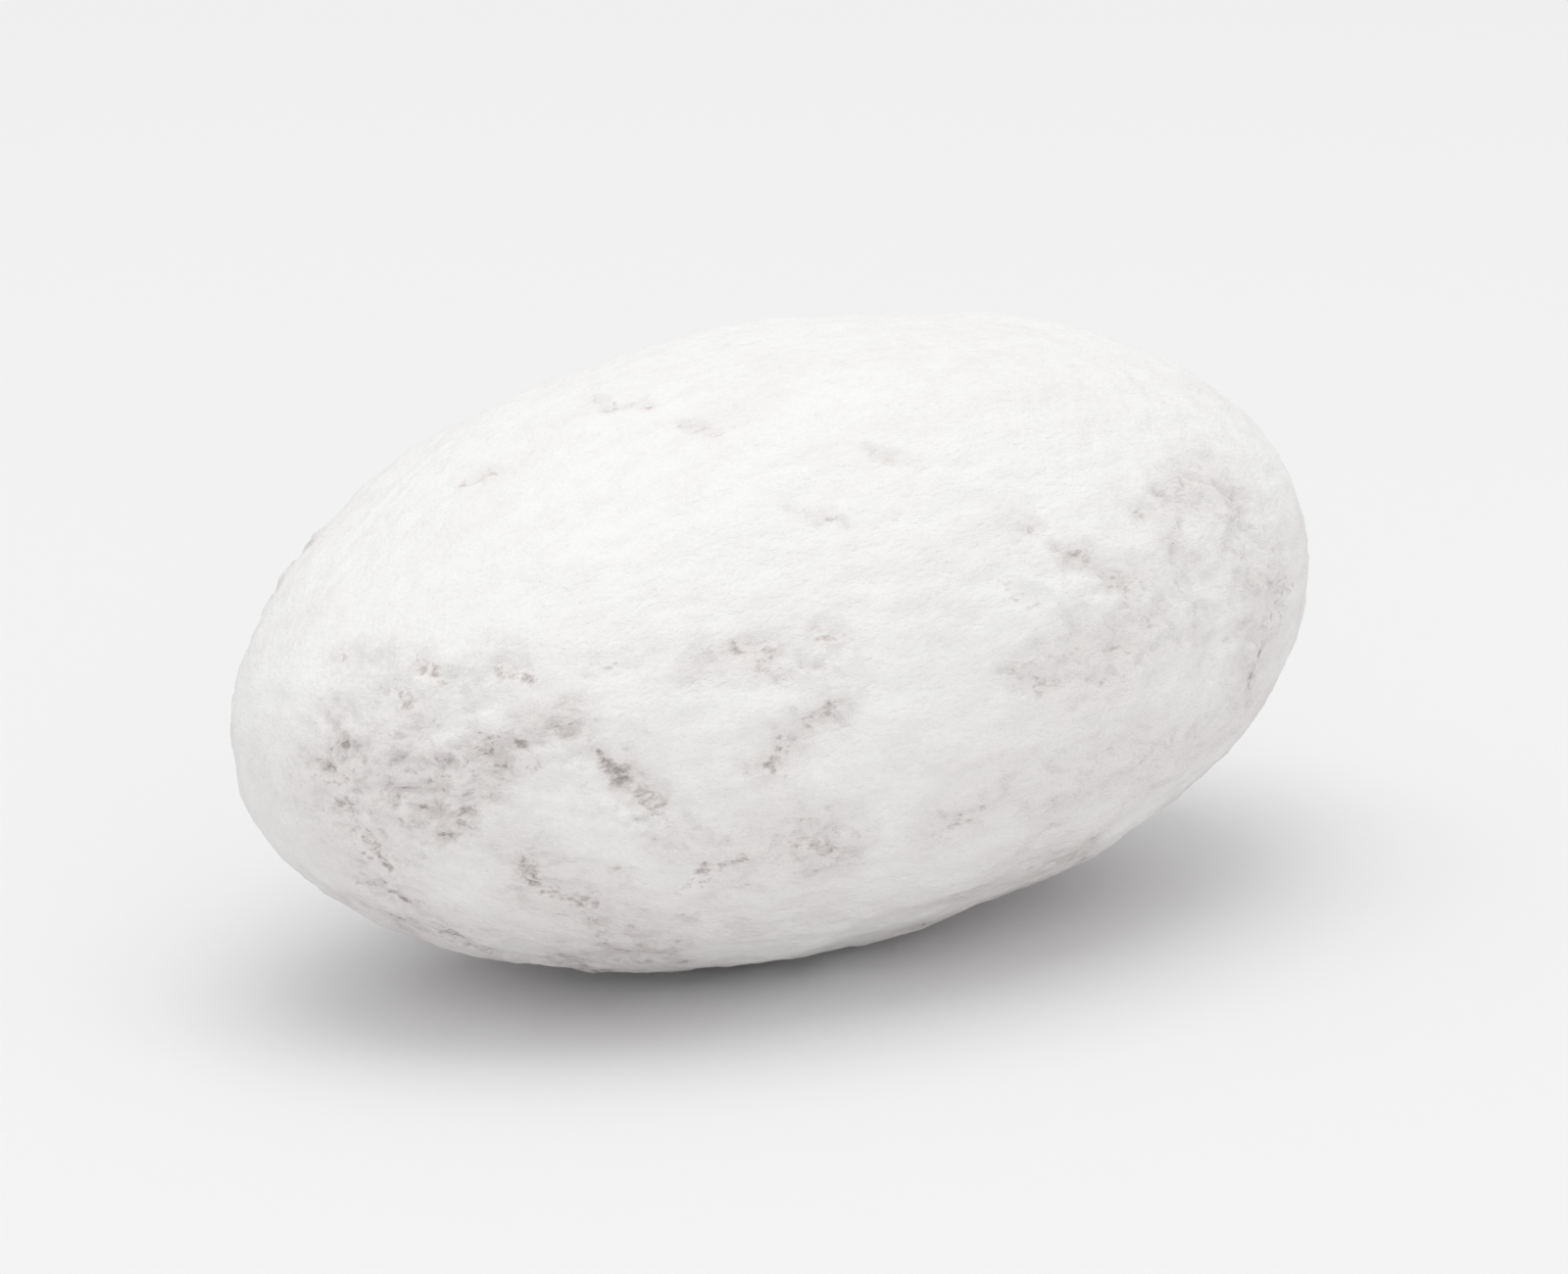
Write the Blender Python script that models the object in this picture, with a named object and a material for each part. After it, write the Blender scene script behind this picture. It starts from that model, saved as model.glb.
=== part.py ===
"""A powdered chocolate almond: an almond in a thick chocolate coat, tumbled in icing sugar.

It is one solid. Its long axis is X, with the broad end at +X and the narrow end at -X, and it
lies on its flatter side, on the small flat spot where the coat was pressed while it set. The
origin is the middle of its outline seen from above, at the height of what it lies on.
Metres, +Z up.
"""

import math

import bmesh
import bpy
from mathutils import Matrix, Vector, noise

MM = 0.001

# Driving dimensions: the almond with its coat, before the surface is made uneven.
LENGTH = 32.5 * MM
WIDTH = 18.4 * MM
THICKNESS = 16.2 * MM

BROAD_END = 0.030  # share by which the girth grows from the middle to the end at +X
BOW = 0.35 * MM  # how far the middle of the long axis lies off a straight line, towards -Y
SQUARENESS = 2.12  # 2 is an ellipse in cross-section, more has fuller shoulders
FLAT_UNDERSIDE = 0.93  # height of the lower half against the upper half
LEAN = math.radians(2.0)  # how far the broad end is raised as the almond lies

# The coat's unevenness. Each layer is (size of its bumps, greatest height), large ones first.
LUMPS = (
    (9.0 * MM, 0.34 * MM),
    (4.2 * MM, 0.15 * MM),
    (2.1 * MM, 0.075 * MM),
)
LUMPS_START = Vector((4.1, 9.7, 2.3))  # where in the noise field the first layer is read

# Wrinkles where the sugar crust drew together as it dried: low ridges along the almond.
WRINKLE_WIDTH = 1.5 * MM
WRINKLE_STRETCH = 2.4
WRINKLE_HEIGHT = 0.075 * MM
WRINKLE_START = Vector((31.0, 5.5, 17.0))

# Chips and rubbed places in the crust. Each is (place along the length from -1 at the narrow
# tip to 1, degrees round from the top towards -Y, length, breadth, depth).
CHIPS = (
    (-0.62, 88.0, 2.7 * MM, 1.2 * MM, 0.24 * MM),
    (-0.89, 84.0, 2.4 * MM, 3.6 * MM, 0.14 * MM),
    (-0.34, 85.0, 2.3 * MM, 1.2 * MM, 0.17 * MM),
    (-0.74, 120.0, 2.2 * MM, 1.4 * MM, 0.16 * MM),
    (-0.30, 114.0, 2.4 * MM, 1.4 * MM, 0.14 * MM),
    (0.64, 62.0, 2.6 * MM, 2.6 * MM, 0.12 * MM),
    (0.66, 102.0, 1.8 * MM, 1.6 * MM, 0.20 * MM),
    (0.18, 80.0, 3.4 * MM, 1.8 * MM, 0.11 * MM),
    (-0.28, 4.0, 1.7 * MM, 1.2 * MM, 0.09 * MM),
    (0.45, -62.0, 3.6 * MM, 2.4 * MM, 0.14 * MM),
    (-0.40, -96.0, 2.4 * MM, 1.4 * MM, 0.16 * MM),
    (0.80, -20.0, 2.4 * MM, 2.0 * MM, 0.12 * MM),
)

REST_DEPTH = 0.22 * MM  # how much of the underside the flat spot takes off
CELLS = {"X": 42, "Y": 25, "Z": 22}  # faces along each side of the box that the ball grows from

SUGAR_WHITE = (0.86, 0.85, 0.835, 1.0)
SUGAR_ROUGHNESS = 0.95


def clear_scene():
    for old in list(bpy.data.objects):
        bpy.data.objects.remove(old, do_unlink=True)


def gridded_ball():
    """A ball of radius 1 made from a box whose sides are cut into even cells, with no poles."""
    ball = bmesh.new()
    bmesh.ops.create_cube(ball, size=2.0)
    for axis, name in enumerate("XYZ"):
        along = [
            edge
            for edge in ball.edges
            if abs(edge.verts[0].co[axis] - edge.verts[1].co[axis]) > 1.0
        ]
        bmesh.ops.subdivide_edges(ball, edges=along, cuts=CELLS[name] - 1, use_grid_fill=True)
    for vert in ball.verts:
        even = Vector(math.tan(value * math.pi / 4) for value in vert.co)
        vert.co = even.normalized()
    return ball


def smooth_form(point):
    """Where a point of the ball lies on the almond before any unevenness."""
    along = point.x
    ring = math.hypot(point.y, point.z)
    if ring > 0.0:
        across, up = point.y / ring, point.z / ring
        fuller = (abs(across) ** SQUARENESS + abs(up) ** SQUARENESS) ** (-1 / SQUARENESS)
    else:
        across, up, fuller = 0.0, 0.0, 1.0
    girth = ring * fuller * (1 + BROAD_END * along)
    side = across * girth * WIDTH / 2 - BOW * (1 - along * along)
    height = up * girth * THICKNESS / 2
    if height < 0:
        height *= FLAT_UNDERSIDE
    return Vector((along * LENGTH / 2, side, height))


def place_on_form(along, degrees_round):
    """The point of the smooth form at a place along its length and round its girth."""
    turn = math.radians(degrees_round)
    ring = math.sqrt(1 - along * along)
    return smooth_form(Vector((along, -math.sin(turn) * ring, math.cos(turn) * ring)))


def lump_height(point):
    """The coat's lumps: the layers of noise added together."""
    height = 0.0
    for layer, (size, most) in enumerate(LUMPS):
        height += most * noise.noise(point / size + LUMPS_START * (layer + 1))
    return height


def wrinkle_height(point):
    """Low ridges, longer along the almond than across it."""
    field = Vector((point.x / WRINKLE_STRETCH, point.y, point.z)) / WRINKLE_WIDTH
    ridge = 1 - 2 * abs(noise.noise(field + WRINKLE_START))
    return WRINKLE_HEIGHT * ridge * abs(ridge)


def chip_depth(point, chips):
    """How far the chips sink the surface at a point."""
    depth = 0.0
    for centre, length, breadth, most in chips:
        off = point - centre
        reach = math.hypot(off.x / length, math.hypot(off.y, off.z) / breadth) * 2
        ragged = reach + 0.35 * noise.noise(point / (0.9 * MM))
        if ragged < 1.0:
            depth = max(depth, most * (1 - ragged * ragged))
    return depth


def shape_almond(ball):
    """Moves the ball's points to the smooth form, and then in or out along its normals."""
    for vert in ball.verts:
        vert.co = smooth_form(vert.co)
    ball.normal_update()
    chips = [
        (place_on_form(along, turn), length, breadth, depth)
        for along, turn, length, breadth, depth in CHIPS
    ]
    moves = [
        vert.normal
        * (lump_height(vert.co) + wrinkle_height(vert.co) - chip_depth(vert.co, chips))
        for vert in ball.verts
    ]
    for vert, move in zip(ball.verts, moves):
        vert.co += move


def lay_down(ball):
    """Turns the almond the little that its broad end is raised."""
    turn = Matrix.Rotation(-LEAN, 3, "Y")
    bmesh.ops.rotate(ball, verts=ball.verts, cent=(0, 0, 0), matrix=turn)


def press_flat_spot(ball):
    """Flattens the lowest part of the underside to one level."""
    level = min(vert.co.z for vert in ball.verts) + REST_DEPTH
    for vert in ball.verts:
        vert.co.z = max(vert.co.z, level)


def move_to_origin(ball):
    """Puts the middle of the plan outline over the origin, and the flat spot at height 0."""
    low = Vector(min(vert.co[axis] for vert in ball.verts) for axis in range(3))
    high = Vector(max(vert.co[axis] for vert in ball.verts) for axis in range(3))
    shift = Vector((-(low.x + high.x) / 2, -(low.y + high.y) / 2, -low.z))
    bmesh.ops.translate(ball, verts=ball.verts, vec=shift)


def powder_material():
    powder = bpy.data.materials.new("icing_sugar")
    powder.use_nodes = True
    shader = powder.node_tree.nodes["Principled BSDF"]
    shader.inputs["Base Color"].default_value = SUGAR_WHITE
    shader.inputs["Roughness"].default_value = SUGAR_ROUGHNESS
    shader.inputs["Metallic"].default_value = 0.0
    return powder


def make_almond():
    ball = gridded_ball()
    shape_almond(ball)
    lay_down(ball)
    press_flat_spot(ball)
    move_to_origin(ball)
    bmesh.ops.recalc_face_normals(ball, faces=ball.faces)
    mesh = bpy.data.meshes.new("powdered_almond")
    ball.to_mesh(mesh)
    ball.free()
    mesh.materials.append(powder_material())
    mesh.shade_smooth()
    almond = bpy.data.objects.new("powdered_almond", mesh)
    bpy.context.scene.collection.objects.link(almond)
    return almond


clear_scene()
make_almond()
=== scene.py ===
"""The looks of a powdered chocolate almond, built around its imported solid."""

import math
import random

import bmesh
import bpy
import numpy as np
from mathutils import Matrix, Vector, noise
from mathutils.bvhtree import BVHTree


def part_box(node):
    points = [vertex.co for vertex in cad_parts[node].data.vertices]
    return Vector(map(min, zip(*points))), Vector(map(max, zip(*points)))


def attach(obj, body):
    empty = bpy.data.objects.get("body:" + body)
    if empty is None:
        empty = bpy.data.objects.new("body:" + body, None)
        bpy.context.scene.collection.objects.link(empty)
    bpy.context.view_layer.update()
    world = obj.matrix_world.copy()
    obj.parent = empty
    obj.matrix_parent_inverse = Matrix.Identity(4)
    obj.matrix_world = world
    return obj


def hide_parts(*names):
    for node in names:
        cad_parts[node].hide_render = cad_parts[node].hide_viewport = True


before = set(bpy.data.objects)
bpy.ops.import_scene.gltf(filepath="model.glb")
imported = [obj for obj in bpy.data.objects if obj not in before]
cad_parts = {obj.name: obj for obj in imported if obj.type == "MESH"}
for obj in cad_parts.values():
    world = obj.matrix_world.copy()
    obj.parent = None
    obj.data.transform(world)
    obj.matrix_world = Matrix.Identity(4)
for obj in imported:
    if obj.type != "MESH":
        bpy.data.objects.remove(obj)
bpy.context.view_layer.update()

# The crust is icing sugar that stuck to the chocolate while the almond was tumbled. It is a few
# tenths of a millimetre thick, dead matt and chalky, combed into fine wrinkles along the almond,
# and chipped or rubbed thin here and there, so that the chocolate greys it or shows as flecks.
MM = 0.001
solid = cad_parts["powdered_almond"]
low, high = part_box("powdered_almond")
middle = (low + high) / 2
half_length = (high.x - low.x) / 2

COMBING = (
    # width, stretch along the almond, height of the ridges
    (0.80 * MM, 3.2, 0.026 * MM),
    (0.42 * MM, 3.6, 0.018 * MM),
)
COMB_RADIUS = 8.2 * MM  # radius at which the ridges have their full width
COMB_WAVE = (1.8 * MM, 0.45 * MM)  # width and reach of the waves in the ridges
COMB_FADE = (1.0, 0.86)  # shares of the half length where the ridges end and are full
WORN_COMBING = 0.8  # how much more the ridges stand out where the crust is worn
CAKING = (
    # width and height of the soft lumps
    (1.40 * MM, 0.050 * MM),
    (0.66 * MM, 0.048 * MM),
    (0.38 * MM, 0.030 * MM),
)
CAKING_DRAWN = (0.7, 1, 1)  # less than 1 along X draws the lumps out along the almond
CAKING_SHIFT = (5.0, 1.0, 3.0)  # where in the noise field the lumps are read
FLAKE = 0.58 * MM  # width of the pieces that a worn crust breaks into
FLAKE_DEPTH = 0.15 * MM
FLAKE_LAYERS = 3
FLAKE_DRAWN = (0.6, 1, 1)
FLAKE_EDGE = (0.0, 0.35)  # noise where a gap between flakes begins and is at its full depth
FISSURE = 0.90 * MM  # distance between the fine cracks
FISSURE_DEPTH = 0.035 * MM
FISSURE_DRAWN = (0.5, 1, 1)
FISSURE_SHIFT = (2.0, 2.0, 5.0)
FISSURE_EDGE = (0.08, 0.0)  # noise at the lip of a crack and at its bottom
CRACKED_PATCH = 2.4 * MM  # width of the patches that have such cracks
CRACKED_SHIFT = (1.0, 7.0, 4.0)
CRACKED_EDGE = (-0.05, 0.25)  # noise where such a patch begins and is at its full depth
RAGGED = (
    # width and reach of the bends in the outline of every worn place, chip and flake
    (0.85 * MM, 0.34 * MM),
    (0.33 * MM, 0.15 * MM),
)
PUSH_SHIFTS = (11.3, 23.7, 37.1)  # where in the noise field the push along X, Y and Z is read
# Between which two shares, 1 in the middle of a run and 0 at its edge, a place comes in.
WORN_EDGE = (-0.60, 0.70)
CHIP_EDGE = (-1.1, 0.9)
RAISED_EDGE = (-0.3, 0.5)
RAISED_CLEAN = 0.7  # how much less worn a raised flake is
FACING_UP_EDGE = (-0.9, 0.75)  # the normal's Z between which a side goes from facing down, which gets painted shade, to facing fully up

# Where the crust is worn, each place as a run of points: share of the length from the middle,
# degrees round from the top towards -Y, half width in millimetres. Then how worn it is.
WORN = (
    (((-0.96, 84, 1.4), (-0.90, 92, 2.0), (-0.86, 98, 1.7), (-0.81, 86, 1.2), (-0.71, 77, 0.8)), 1.00),
    (((-0.94, 58, 1.3), (-0.85, 62, 1.0), (-0.75, 59, 0.6)), 0.65),
    (((-0.98, 108, 1.2), (-0.95, 122, 1.3), (-0.90, 137, 1.4)), 0.70),
    (((-0.80, 108, 1.0), (-0.72, 117, 0.9), (-0.65, 118, 0.9)), 0.68),
    (((-0.58, 102, 0.9), (-0.48, 110, 1.1), (-0.32, 106, 1.2)), 0.70),
    (((-0.35, 103, 0.7), (-0.29, 108, 0.9)), 0.95),
    (((-0.12, 105, 0.9), (0.15, 102, 1.2), (0.45, 106, 1.2)), 0.60),
    (((0.46, 58, 0.9), (0.60, 62, 1.4), (0.60, 72, 2.2), (0.64, 88, 2.3), (0.60, 100, 1.7)), 0.70),
    (((0.42, 64, 1.0), (0.42, 82, 1.6)), 0.64),
    (((0.02, 83, 0.6), (0.12, 84, 1.2), (0.30, 80, 1.7)), 0.71),
    (((0.16, 65, 0.3), (0.24, 70, 0.4), (0.32, 77, 0.5)), 0.80),
    (((-0.50, 70, 0.7), (-0.28, 73, 0.8)), 0.65),
    (((-0.69, 86, 0.5), (-0.65, 89, 0.9), (-0.60, 96, 0.8)), 0.75),
    (((-0.43, 91, 0.7), (-0.37, 86, 0.7), (-0.30, 81, 0.6)), 0.80),
    (((-0.91, 18, 0.5), (-0.88, 38, 0.6), (-0.84, 50, 0.5)), 0.60),
    (((-0.335, -8, 0.3), (-0.35, -1, 0.3), (-0.31, 4, 0.3)), 0.62),
    (((-0.295, 15, 0.3), (-0.27, 22, 0.3)), 0.62),
    (((-0.60, -7, 0.3), (-0.57, -4, 0.3)), 0.60),
    (((-0.09, 39, 0.3), (-0.02, 43, 0.3)), 0.60),
    (((-0.25, 47, 0.3), (-0.20, 50, 0.3)), 0.55),
    (((0.07, 61, 0.3), (0.14, 60, 0.3)), 0.60),
)
# Where it chipped, in the same way, with how bare it is there and how deep in millimetres.
CHIPS = (
    (((-0.77, 80, 0.26), (-0.72, 80, 0.30), (-0.69, 82, 0.24)), 0.42, 0.050),
    (((-0.675, 86, 0.28), (-0.65, 89, 0.39), (-0.63, 92, 0.26)), 0.73, 0.110),
    (((-0.655, 91, 0.18), (-0.625, 94, 0.34), (-0.60, 96, 0.38)), 0.60, 0.070),
    (((-0.31, 81, 0.24), (-0.345, 85, 0.34)), 0.60, 0.040),
    (((-0.38, 87, 0.38), (-0.42, 91, 0.42)), 0.69, 0.060),
    (((-0.755, 114, 0.24), (-0.745, 119, 0.24)), 0.68, 0.060),
    (((-0.71, 122, 0.30), (-0.66, 124, 0.42)), 0.64, 0.070),
    (((-0.65, 111, 0.24), (-0.63, 113, 0.22)), 0.48, 0.040),
    (((-0.52, 113, 0.36), (-0.46, 109, 0.42)), 0.70, 0.060),
    (((-0.37, 104, 0.42), (-0.29, 109, 0.46)), 0.54, 0.050),
    (((-0.095, 107.5, 0.30), (-0.04, 105, 0.30)), 0.56, 0.070),
    (((0.125, 114, 0.24), (0.145, 114, 0.24)), 0.50, 0.060),
    (((0.315, 106, 0.30), (0.345, 105.5, 0.28)), 0.54, 0.070),
    (((0.445, 109, 0.28), (0.485, 109, 0.28)), 0.52, 0.060),
    (((-0.975, 88, 0.30), (-0.965, 102, 0.28)), 0.60, 0.060),
    (((-0.96, 118, 0.34), (-0.94, 128, 0.32)), 0.62, 0.060),
    (((-0.92, 133, 0.32), (-0.90, 139, 0.26)), 0.62, 0.060),
    (((-0.90, 92, 0.36), (-0.88, 99, 0.32)), 0.50, 0.050),
    (((-0.85, 106, 0.32), (-0.82, 99, 0.30)), 0.64, 0.060),
    (((-0.83, 80, 0.28), (-0.80, 86, 0.28)), 0.50, 0.040),
    (((-0.91, 17, 0.28), (-0.90, 22, 0.28)), 0.48, 0.070),
    (((-0.885, 56, 0.30), (-0.88, 61, 0.30)), 0.64, 0.070),
    (((-0.845, 49, 0.30), (-0.835, 53, 0.28)), 0.60, 0.080),
    (((-0.765, 60, 0.30), (-0.75, 66, 0.30)), 0.64, 0.080),
    (((-0.63, 66, 0.28), (-0.61, 68, 0.26)), 0.48, 0.060),
    (((-0.44, 69, 0.28), (-0.40, 70.5, 0.30)), 0.52, 0.070),
    (((-0.30, 70, 0.28), (-0.27, 71.5, 0.28)), 0.52, 0.070),
    (((-0.335, -8, 0.26), (-0.35, -1, 0.28), (-0.31, 4, 0.26)), 0.52, 0.080),
    (((-0.295, 16, 0.26), (-0.27, 22, 0.28)), 0.52, 0.080),
    (((-0.60, -6, 0.28), (-0.57, -4, 0.28)), 0.50, 0.080),
    (((-0.08, 40, 0.28), (-0.03, 43, 0.28)), 0.42, 0.080),
    (((-0.24, 48, 0.30), (-0.21, 50, 0.30)), 0.42, 0.080),
    (((0.085, 60.5, 0.28), (0.13, 60, 0.28)), 0.48, 0.080),
    (((0.03, 66.5, 0.24), (0.05, 70, 0.26), (0.09, 73, 0.24)), 0.44, 0.070),
    (((0.175, 67, 0.26), (0.20, 68.5, 0.26)), 0.54, 0.060),
    (((0.255, 72, 0.28), (0.285, 74.5, 0.28)), 0.56, 0.060),
    (((0.31, 79, 0.26), (0.32, 80.5, 0.26)), 0.52, 0.060),
    (((0.06, 86.5, 0.26), (0.10, 86.5, 0.26)), 0.54, 0.060),
    (((0.195, 88, 0.26), (0.22, 88, 0.26)), 0.54, 0.060),
    (((0.245, 83, 0.26), (0.285, 86, 0.26)), 0.50, 0.060),
    (((0.37, 61.5, 0.28), (0.39, 62, 0.26)), 0.52, 0.060),
    (((0.43, 59, 0.28), (0.50, 57, 0.28)), 0.48, 0.060),
    (((0.72, 84, 0.50), (0.66, 92, 0.70), (0.60, 99, 0.60)), 0.44, 0.060),
    (((0.60, 101, 0.40), (0.645, 95, 0.36)), 0.70, 0.070),
    (((0.70, 84, 0.30), (0.76, 85, 0.28)), 0.56, 0.050),
)
# Where a flake stands up, in the same way, with how high in millimetres.
RAISED = (
    (((-0.74, 84, 0.30), (-0.68, 91, 0.36), (-0.65, 98, 0.24)), 0.090),
    (((0.07, 67, 0.25), (0.16, 72, 0.42), (0.25, 77, 0.30)), 0.080),
    (((-0.38, 96, 0.30), (-0.24, 98, 0.35)), 0.050),
    (((-0.86, 74, 0.25), (-0.80, 72, 0.30)), 0.050),
)
# The sides that face away have places and chips drawn by a seed, in the same measures.
HIDDEN_SEED = 2763
HIDDEN_PLACES = 12
HIDDEN_WIDEST = 2.3  # half width of the first
HIDDEN_SHRINK = 0.87  # each next one, against the one before
HIDDEN_ALONG = (-0.90, 0.82)  # between which shares of the length they begin
HIDDEN_ROUND = (-40, -215)  # between which degrees round
HIDDEN_REACH = (0.06, 0.16)  # how far along the almond they run, to either side
HIDDEN_BEND = 22  # most degrees round that they bend away
HIDDEN_TAPER = 0.7  # width of a far end, against the near one
HIDDEN_WORN = (0.55, 1.0)
HIDDEN_CHIP = (0.18, 0.42)  # half width
HIDDEN_BARE = (0.40, 0.75)
HIDDEN_DEEP = (0.03, 0.08)


def joined_copy(node):
    """A copy of a solid's loose triangles, joined into one skin of mostly four-sided faces."""
    skin = bmesh.new()
    skin.from_mesh(node.data)
    bmesh.ops.remove_doubles(skin, verts=skin.verts, dist=0.001 * MM)
    bmesh.ops.join_triangles(
        skin,
        faces=skin.faces,
        angle_face_threshold=math.radians(40),
        angle_shape_threshold=math.radians(60),
    )
    return skin


def subdivided(skin, name, levels):
    """An object of the skin's shape with its faces cut up and rounded."""
    coarse = bpy.data.meshes.new(name + "_coarse")
    skin.to_mesh(coarse)
    obj = bpy.data.objects.new(name, coarse)
    bpy.context.scene.collection.objects.link(obj)
    rounding = obj.modifiers.new("rounding", "SUBSURF")
    rounding.levels = levels
    rounding.render_levels = levels
    graph = bpy.context.evaluated_depsgraph_get()
    fine = bpy.data.meshes.new_from_object(obj.evaluated_get(graph))
    obj.modifiers.clear()
    obj.data = fine
    fine.name = name
    bpy.data.meshes.remove(coarse)
    return obj


def smoothstep(start, end, values):
    """Each value's share of the way from start to end, eased in and out, from 0 to 1."""
    share = np.clip((values - start) / (end - start), 0.0, 1.0)
    return share * share * (3 - 2 * share)


def on_surface(tree, along, degrees_round):
    """The point of the skin at a share of the length and an angle round the long axis."""
    turn = math.radians(degrees_round)
    start = Vector((middle.x + along * half_length, middle.y, middle.z))
    return tree.ray_cast(start, Vector((0, -math.sin(turn), math.cos(turn))))[0]


def hidden_places():
    """Worn places and chips of the same kinds for the sides that face away, by a seeded draw."""
    deal = random.Random(HIDDEN_SEED)
    worn, chips = [], []
    for place in range(HIDDEN_PLACES):
        wide = HIDDEN_WIDEST * HIDDEN_SHRINK ** place
        along = deal.uniform(*HIDDEN_ALONG)
        turn = deal.uniform(*HIDDEN_ROUND)
        far = (
            along + deal.choice((-1, 1)) * deal.uniform(*HIDDEN_REACH),
            turn + deal.uniform(-HIDDEN_BEND, HIDDEN_BEND),
        )
        run = ((along, turn, wide), (*far, wide * HIDDEN_TAPER))
        worn.append((run, deal.uniform(*HIDDEN_WORN)))
        for _ in range(round(1 + 2 * wide)):
            share = deal.uniform(-0.3, 1.3)
            begin = (
                along + share * (far[0] - along) + deal.uniform(-0.04, 0.04),
                turn + share * (far[1] - turn) + deal.uniform(-6, 6) * wide,
            )
            finish = (begin[0] + deal.uniform(-0.05, 0.05), begin[1] + deal.uniform(-7, 7))
            half = deal.uniform(*HIDDEN_CHIP)
            run = ((*begin, half), (*finish, half * HIDDEN_TAPER))
            chips.append((run, deal.uniform(*HIDDEN_BARE), deal.uniform(*HIDDEN_DEEP)))
    return worn, chips


def laid_out(tree, places):
    """A run of places as points of the surface with their half widths, in metres."""
    return [(on_surface(tree, along, turn), half * MM) for along, turn, half in places]


def inside_run(points, run):
    """For each point, 1 in the middle of a run and 0 at its edge, below 0 outside it."""
    best = np.full(len(points), -9.0)
    for (start, start_half), (end, end_half) in zip(run, run[1:]):
        line = np.array(end - start)
        off = points - np.array(start)
        share = np.clip(off @ line / max(line @ line, 1e-12), 0, 1)
        apart = np.linalg.norm(off - share[:, None] * line, axis=1)
        best = np.maximum(best, 1 - apart / (start_half + (end_half - start_half) * share))
    return best


def clouds(points, width, shift=(0, 0, 0)):
    """Smooth noise at each point, about -1 to 1, with bumps of the width given."""
    moved = points / width + np.array(shift)
    return np.array([noise.noise(place) for place in moved.tolist()])


def layered(points, width, layers):
    """Noise at each point in layers, each half as wide as the last and weaker, about -1 to 1."""
    places = (points / width).tolist()
    return np.array([noise.fractal(place, 0.7, 2.0, layers) for place in places])


def pushed(points, width, far):
    """The points moved about by a smooth noise, which makes any outline ragged."""
    moves = [clouds(points, width, (shift, shift, 0)) for shift in PUSH_SHIFTS]
    return points + far * np.column_stack(moves)


def combing(points):
    """Fine ridges that run from end to end and close up towards the tips."""
    across = points[:, 1:] - np.array(middle[1:])
    outward = across / np.maximum(np.linalg.norm(across, axis=1), 1e-9)[:, None]
    around = outward * COMB_RADIUS
    waved = pushed(points, *COMB_WAVE) - points
    total = np.zeros(len(points))
    for width, stretch, height in COMBING:
        where = np.column_stack([points[:, 0] / stretch, around]) + waved
        total += height * (1 - 3 * np.abs(clouds(where, width)))
    return total


def crust_at(points, worn_runs, chip_runs, raised_runs):
    """For points of the skin, the height of the crust's relief, how worn it is and how bare."""
    away = np.abs(points[:, 0] - middle.x) / half_length
    ridges = combing(points) * smoothstep(*COMB_FADE, away)
    height = ridges.copy()
    for width, most in CAKING:
        height += most * clouds(points * CAKING_DRAWN, width, CAKING_SHIFT)
    crack = np.abs(clouds(points * FISSURE_DRAWN, FISSURE, FISSURE_SHIFT))
    cracked = smoothstep(*CRACKED_EDGE, clouds(points, CRACKED_PATCH, CRACKED_SHIFT))
    height -= FISSURE_DEPTH * smoothstep(*FISSURE_EDGE, crack) * cracked
    torn = points
    for width, reach in RAGGED:
        torn = pushed(torn, width, reach)
    worn = np.zeros(len(points))
    for run, most in worn_runs:
        worn = np.maximum(worn, most * smoothstep(*WORN_EDGE, inside_run(torn, run)))
    broken = smoothstep(*FLAKE_EDGE, layered(points * FLAKE_DRAWN, FLAKE, FLAKE_LAYERS))
    height += WORN_COMBING * worn * ridges - FLAKE_DEPTH * worn * broken
    bare = np.zeros(len(points))
    for run, most, depth in chip_runs:
        share = smoothstep(*CHIP_EDGE, inside_run(torn, run))
        bare = np.maximum(bare, most * share)
        height -= depth * MM * share
    for run, most in raised_runs:
        share = smoothstep(*RAISED_EDGE, inside_run(torn, run))
        worn *= 1 - RAISED_CLEAN * share
        height += most * MM * share
    return height, worn, bare


def roughen(obj, *runs):
    """Moves the fine mesh's points by the relief, and keeps how worn and bare each one is."""
    mesh = obj.data
    count = len(mesh.vertices)
    points, normals = np.empty(count * 3), np.empty(count * 3)
    mesh.vertices.foreach_get("co", points)
    mesh.vertices.foreach_get("normal", normals)
    points, normals = points.reshape(-1, 3), normals.reshape(-1, 3)
    height, worn, bare = crust_at(points, *runs)
    # How far each point faces up: the sugar's shader paints shade and worn patches on the sides that
    # face down.
    facing_up = smoothstep(*FACING_UP_EDGE, normals[:, 2])
    for name, values in (("worn", worn), ("bare", bare), ("facing_up", facing_up)):
        mesh.attributes.new(name, "FLOAT", "POINT").data.foreach_set("value", values)
    moved = points + normals * height[:, None]
    moved[:, 2] = np.maximum(moved[:, 2], 0.0)
    mesh.vertices.foreach_set("co", moved.ravel())
    mesh.update()
    mesh.shade_smooth()


SUGAR_TONES = (
    # how thin the sugar lies, from clean white to nearly bare chocolate, and its colour there
    (0.00, (0.896, 0.895, 0.882, 1)),
    (0.14, (0.788, 0.755, 0.745, 1)),
    (0.45, (0.560, 0.524, 0.512, 1)),
    (0.75, (0.335, 0.306, 0.294, 1)),
    (1.00, (0.200, 0.170, 0.155, 1)),
)
SUGAR_FINISH = {
    "Roughness": 0.92,
    "Specular IOR Level": 0.25,
    "Sheen Weight": 0.10,
    "Sheen Roughness": 0.45,
}
GRAIN_DEPTH = 0.10 * MM  # of the powder's finest grain, which is shading alone


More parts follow.
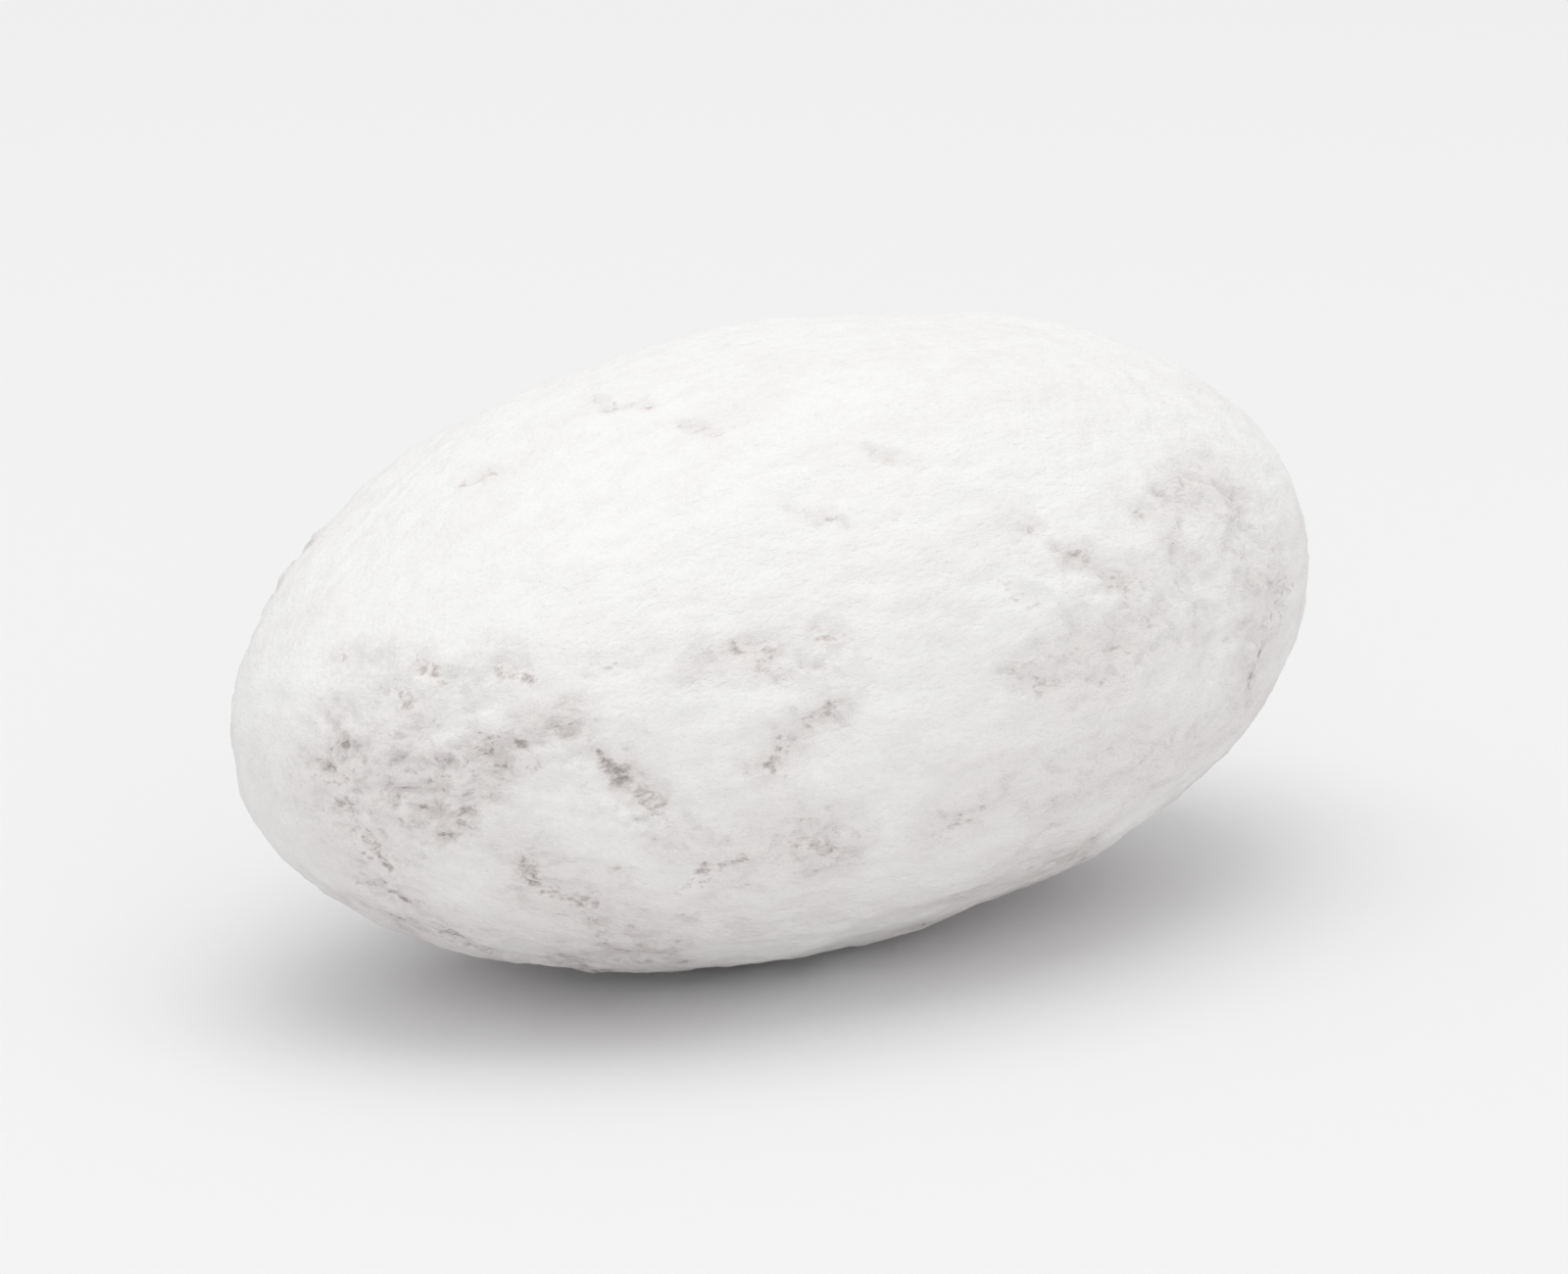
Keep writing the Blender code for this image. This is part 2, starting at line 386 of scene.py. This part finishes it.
def link_nodes(tree, kind, inputs=(), **settings):
    """Adds a node of a kind, with its settings, and its inputs as values or as links."""
    made = tree.nodes.new(kind)
    for name, value in settings.items():
        setattr(made, name, value)
    for name, value in dict(inputs).items():
        if isinstance(value, bpy.types.NodeSocket):
            tree.links.new(value, made.inputs[name])
        else:
            made.inputs[name].default_value = value
    return made


def sugar_group():
    """Icing sugar's colour and grain, with painted shade on the sides that face down. Worn and Bare
    say how it lies, and the third input how far it faces up, from 0 to 1.
    """
    group = bpy.data.node_groups.new("icing_sugar", "ShaderNodeTree")
    for name in ("Worn", "Bare", "Facing_Up"):
        group.interface.new_socket(name, in_out="INPUT", socket_type="NodeSocketFloat")
    group.interface.new_socket("Color", in_out="OUTPUT", socket_type="NodeSocketColor")
    group.interface.new_socket("Height", in_out="OUTPUT", socket_type="NodeSocketFloat")
    given = group.nodes.new("NodeGroupInput").outputs
    place = link_nodes(group, "ShaderNodeTexCoord").outputs["Object"]
    # Places are read in millimetres, and half as fast along the almond, to draw the marks out.
    combed = link_nodes(
        group,
        "ShaderNodeVectorMath",
        {0: place, 1: (0.5 / MM, 1 / MM, 1 / MM)},
        operation="MULTIPLY",
    ).outputs[0]

    def cloud(per_mm, detail, roughness=0.55):
        return link_nodes(
            group,
            "ShaderNodeTexNoise",
            {"Vector": combed, "Scale": per_mm, "Detail": detail, "Roughness": roughness},
        ).outputs["Fac"]

    def work(operation, first, second):
        inputs = {0: first, 1: second}
        return link_nodes(group, "ShaderNodeMath", inputs, operation=operation).outputs[0]

    def total(first, *others):
        for other in others:
            first = work("ADD", first, other)
        return first

    def times(first, second):
        return work("MULTIPLY", first, second)

    def spread(value, amount):
        return times(work("SUBTRACT", value, 0.5), amount)

    def between(value, low_end, high_end):
        return link_nodes(
            group,
            "ShaderNodeMapRange",
            {"Value": value, "From Min": low_end, "From Max": high_end},
            interpolation_type="SMOOTHSTEP",
        ).outputs[0]

    broad = cloud(0.35, 2.0)
    patch = cloud(1.5, 3.0)
    fleck = cloud(1.9, 6.0, 0.66)
    spot = cloud(4.6, 4.0, 0.62)
    grain = cloud(8.0, 3.0, 0.65)
    # Sides that face down count as worn in broad patches, which gives them flecks and, with the veil
    # below, a painted shade.
    painted_shade_and_wear_below = work("SUBTRACT", 1.0, given["Facing_Up"])
    worn = work("MAXIMUM", given["Worn"], times(painted_shade_and_wear_below, between(broad, 0.36, 0.66)))
    # Flecks are where the noise is high, and more of it passes where the crust is worn.
    patches = between(total(fleck, times(worn, 0.20)), 0.66, 0.82)
    spots = between(total(spot, times(worn, 0.17)), 0.72, 0.82)
    spots = times(spots, total(times(patches, 0.24), 0.07))
    flecks = total(times(times(patches, worn), 0.15), spots)
    # Chips are ragged: the noise eats into them from their edges.
    crumbled = total(spread(fleck, 1.1), spread(spot, 1.5), spread(grain, 1.0))
    torn = between(total(crumbled, times(given["Bare"], 1.1)), 0.36, 1.21)
    torn = times(torn, total(times(given["Bare"], 0.55), 0.28))
    mottle = total(spread(broad, 0.10), spread(patch, 0.10), spread(grain, 0.10))
    # The veil greys the sugar where it is worn, and adds painted shade on the sides that face down,
    # darker towards the bottom.
    grey_veil_and_painted_shade = total(times(worn, 0.085), times(painted_shade_and_wear_below, 0.04), 0.02)
    thin = total(work("MAXIMUM", flecks, torn), mottle, grey_veil_and_painted_shade)
    ramp = link_nodes(group, "ShaderNodeValToRGB", {"Fac": thin})
    stops = ramp.color_ramp.elements
    for stop, (position, color) in zip(stops, (SUGAR_TONES[0], SUGAR_TONES[-1])):
        stop.position = position
        stop.color = color
    for position, color in SUGAR_TONES[1:-1]:
        stops.new(position).color = color
    # The grain stands higher where the crust is worn, and sinks in flecks and chips.
    raised = total(
        times(grain, 0.45),
        times(spot, total(times(worn, 0.45), 0.55)),
        times(patch, 0.40),
    )
    raised = total(raised, times(work("MAXIMUM", flecks, torn), -0.80))
    out = group.nodes.new("NodeGroupOutput")
    group.links.new(ramp.outputs["Color"], out.inputs["Color"])
    group.links.new(raised, out.inputs["Height"])
    return group


def sugar_material(name, group):
    """Matt icing sugar, with painted shade on its sides that face down, for a mesh whose points keep
    how worn and bare they are and how far they face up.
    """
    material = bpy.data.materials.new(name)
    material.use_nodes = True
    tree = material.node_tree
    shader = tree.nodes["Principled BSDF"]
    for socket, value in SUGAR_FINISH.items():
        shader.inputs[socket].default_value = value
    sugar = link_nodes(tree, "ShaderNodeGroup", node_tree=group)
    for way in ("Worn", "Bare", "Facing_Up"):
        kept = link_nodes(tree, "ShaderNodeAttribute", attribute_name=way.lower())
        tree.links.new(kept.outputs["Fac"], sugar.inputs[way])
    grains = link_nodes(
        tree,
        "ShaderNodeBump",
        {"Height": sugar.outputs["Height"], "Strength": 1.0, "Distance": GRAIN_DEPTH},
    )
    tree.links.new(sugar.outputs["Color"], shader.inputs["Base Color"])
    tree.links.new(grains.outputs["Normal"], shader.inputs["Normal"])
    return material


skin = joined_copy(solid)
tree = BVHTree.FromBMesh(skin)
hidden_worn, hidden_chips = hidden_places()
worn_runs = [(laid_out(tree, run), most) for run, most in [*WORN, *hidden_worn]]
chip_runs = [(laid_out(tree, run), most, deep) for run, most, deep in [*CHIPS, *hidden_chips]]
raised_runs = [(laid_out(tree, run), most) for run, most in RAISED]
crust = subdivided(skin, "sugar_crust", levels=2)
skin.free()
roughen(crust, worn_runs, chip_runs, raised_runs)
crust.data.materials.clear()
crust.data.materials.append(sugar_material("crust_sugar", sugar_group()))
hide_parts("powdered_almond")
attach(crust, "root")

# The stage is a plain white tabletop. A large soft light hangs above it, a weak one stands in
# front, and an even white surround fills the shadows. The camera looks from where the
# photograph was taken.
FLOOR_SIZE = 3.0
FLOOR_DROP = 0.02 * MM
FLOOR_WHITE = (0.84, 0.84, 0.845, 1.0)
LIGHTS = (
    # name, place, width, watts
    ("softbox", (-0.010, 0.000, 0.34), 0.30, 0.41),
    ("fill", (-0.16, -0.285, 0.05), 0.30, 0.14),
)
SURROUND_STRENGTH = 0.77
AZIMUTH = math.radians(-38)
ELEVATION = math.radians(17)
LENS = 300
SENSOR = 36
SEEN_LENGTH = 28.4 * MM  # of the almond, foreshortened as the camera sees it
SHARE_OF_WIDTH = 0.70  # how much of the picture's width it takes


def make_floor():
    """A white tabletop just under the almond."""
    top = bmesh.new()
    bmesh.ops.create_grid(top, x_segments=1, y_segments=1, size=FLOOR_SIZE / 2)
    bmesh.ops.translate(top, verts=top.verts, vec=(0, 0, -FLOOR_DROP))
    data = bpy.data.meshes.new("tabletop")
    top.to_mesh(data)
    top.free()
    white = bpy.data.materials.new("tabletop_white")
    white.use_nodes = True
    shader = white.node_tree.nodes["Principled BSDF"]
    shader.inputs["Base Color"].default_value = FLOOR_WHITE
    shader.inputs["Roughness"].default_value = 0.9
    shader.inputs["Specular IOR Level"].default_value = 0.1
    data.materials.append(white)
    obj = bpy.data.objects.new("tabletop", data)
    bpy.context.scene.collection.objects.link(obj)


def soft_light(name, place, size, watts):
    """A square lamp that is turned to the almond."""
    lamp = bpy.data.lights.new(name, "AREA")
    lamp.shape = "SQUARE"
    lamp.size = size
    lamp.energy = watts
    obj = bpy.data.objects.new(name, lamp)
    obj.location = place
    obj.rotation_euler = (middle - Vector(place)).to_track_quat("-Z", "Y").to_euler()
    bpy.context.scene.collection.objects.link(obj)


def make_camera():
    """A long lens far off, aimed at the middle of the almond."""
    back = Vector(
        (
            math.sin(AZIMUTH) * math.cos(ELEVATION),
            -math.cos(AZIMUTH) * math.cos(ELEVATION),
            math.sin(ELEVATION),
        )
    )
    distance = SEEN_LENGTH / SHARE_OF_WIDTH * LENS / SENSOR
    lens = bpy.data.cameras.new("camera")
    lens.lens = LENS
    lens.sensor_width = SENSOR
    lens.clip_start = 0.01
    lens.clip_end = 10
    obj = bpy.data.objects.new("camera", lens)
    obj.location = middle + back * distance
    obj.rotation_euler = back.to_track_quat("Z", "Y").to_euler()
    bpy.context.scene.collection.objects.link(obj)
    bpy.context.scene.camera = obj


make_floor()
for name, place, width, watts in LIGHTS:
    soft_light(name, place, width, watts)
world = bpy.data.worlds.new("studio")
world.use_nodes = True
surround = world.node_tree.nodes["Background"]
surround.inputs["Color"].default_value = (1, 1, 1, 1)
surround.inputs["Strength"].default_value = SURROUND_STRENGTH
bpy.context.scene.world = world
bpy.context.scene.view_settings.view_transform = "Standard"
make_camera()
